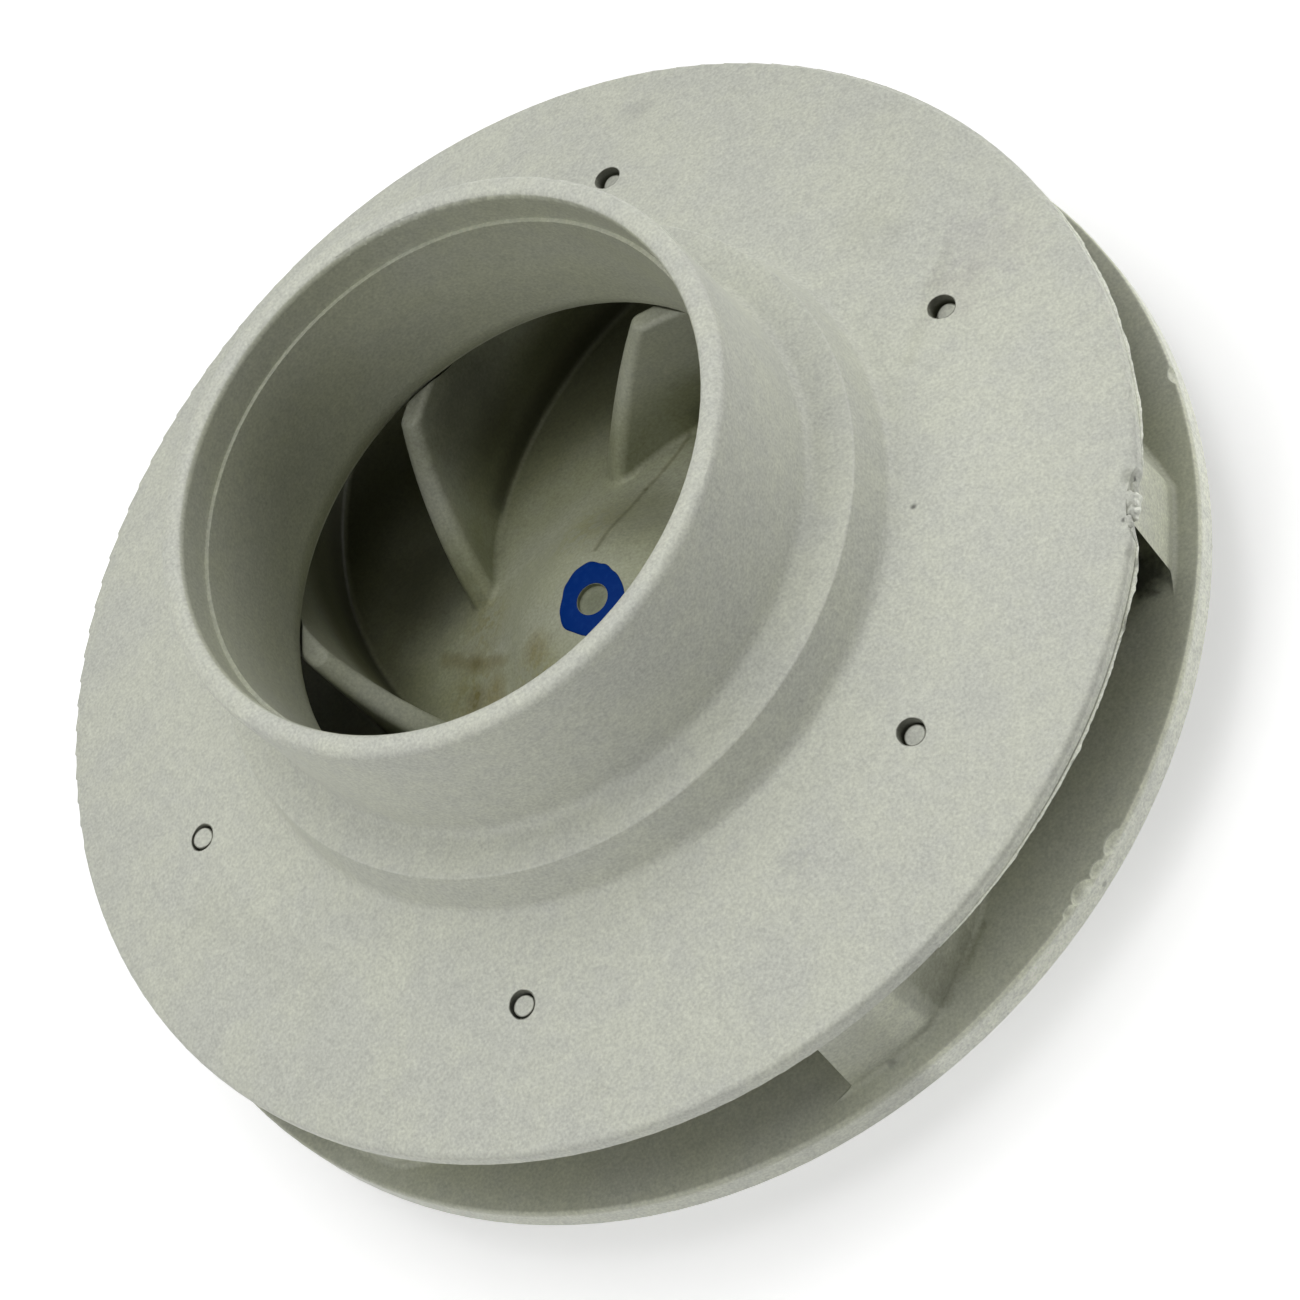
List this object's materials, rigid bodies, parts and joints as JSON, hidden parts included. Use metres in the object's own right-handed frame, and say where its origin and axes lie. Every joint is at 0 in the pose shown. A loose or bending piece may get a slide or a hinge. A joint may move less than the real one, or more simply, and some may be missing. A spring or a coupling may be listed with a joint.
{
  "type": "pump impeller",
  "caption": "Closed water-pump impeller: a coned front shroud with a tall eye neck over a vaned back plate with a brass-threaded hub for the motor shaft.",
  "frame": {"origin": "on the shaft axis at the end face of the rear boss, which it stands on", "axes": "+Z along the shaft axis, out of the eye; +X through the first locating pin"},
  "size_m": [0.1316, 0.1316, 0.0595],
  "materials": {
    "shroud_plastic": "as moulded, pale warm grey, slightly mottled",
    "backplate_plastic": "as moulded, pale warm grey, slightly mottled",
    "insert_brass": "turned, dull"
  },
  "bodies": {
    "root": {"front_shroud": "shroud_plastic", "vaned_backplate": "backplate_plastic", "threaded_insert": "insert_brass"}
  },
  "joints": []
}
